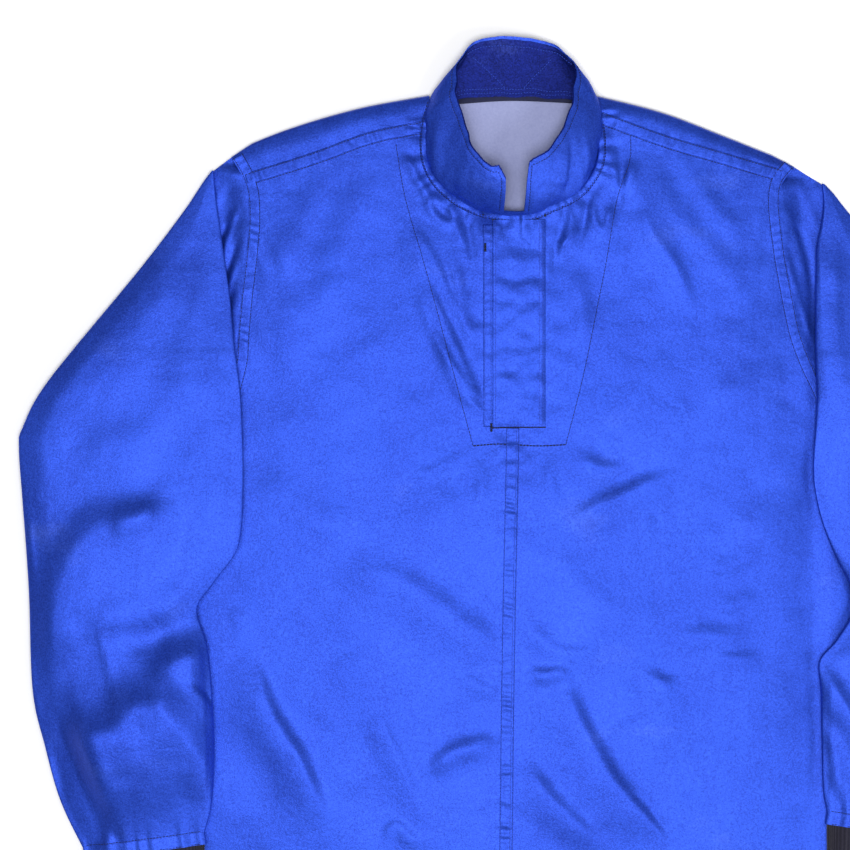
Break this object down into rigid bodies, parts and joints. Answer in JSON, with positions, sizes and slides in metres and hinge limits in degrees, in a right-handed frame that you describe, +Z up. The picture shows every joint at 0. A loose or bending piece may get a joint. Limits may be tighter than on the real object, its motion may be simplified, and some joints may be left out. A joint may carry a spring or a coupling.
{
  "type": "pullover work smock",
  "caption": "Pullover work smock lying flat: stand collar, half placket with hidden buttons under a flap, long sleeves and rib cuffs.",
  "frame": {"origin": "middle of the back neck seam, on the surface under the back panel", "axes": "+X to the wearer's left, +Y towards the collar, +Z up out of the garment's front"},
  "size_m": [0.8057, 0.7266, 0.0361],
  "materials": {
    "satin_cloth": "satin",
    "inner_cloth": "matte",
    "interlining": "matte",
    "neck_tape": "satin",
    "thread": "satin",
    "button_plastic": "gloss",
    "rib_knit": "matte"
  },
  "bodies": {
    "smock_body": {"back_panel": "satin_cloth", "left_front_panel": "satin_cloth", "right_front_panel": "satin_cloth", "placket_flap_base": "satin_cloth", "placket_edge": "satin_cloth", "centre_front_fell": "satin_cloth", "left_shoulder_fell": "satin_cloth", "right_shoulder_fell": "satin_cloth", "left_armhole_fell": "satin_cloth", "right_armhole_fell": "satin_cloth", "left_side_fell": "satin_cloth", "right_side_fell": "satin_cloth", "bottom_hem": "satin_cloth", "neck_band": "satin_cloth", "collar_outer": "satin_cloth", "left_front_facing": "inner_cloth", "right_front_facing": "inner_cloth", "placket_underlay": "inner_cloth", "buttonhole_strip": "inner_cloth", "collar_facing": "inner_cloth", "collar_interlining": "interlining", "back_neck_tape": "neck_tape", "placket_bar_tacks": "thread", "upper_button": "button_plastic", "upper_button_thread": "thread", "middle_button": "button_plastic", "middle_button_thread": "thread", "lower_button": "button_plastic", "lower_button_thread": "thread"},
    "flap": {"placket_flap": "satin_cloth"},
    "left_arm": {"left_sleeve": "satin_cloth", "left_sleeve_hem": "satin_cloth", "left_rib_cuff": "rib_knit"},
    "right_arm": {"right_sleeve": "satin_cloth", "right_sleeve_hem": "satin_cloth", "right_rib_cuff": "rib_knit"}
  },
  "joints": [
    {"name": "placket_flap_lift", "type": "hinge", "parent": "smock_body", "child": "flap", "pos_m": [0.0208, -0.183, 0.0138], "axis": [0, 1, 0], "range_deg": [0, 110]},
    {"name": "left_sleeve_swing", "type": "hinge", "parent": "smock_body", "child": "left_arm", "pos_m": [0.227, -0.057, 0.006], "axis": [0, 0, 1], "range_deg": [0, 24]},
    {"name": "right_sleeve_swing", "type": "hinge", "parent": "smock_body", "child": "right_arm", "pos_m": [-0.225, -0.049, 0.006], "axis": [0, 0, -1], "range_deg": [0, 24]}
  ]
}
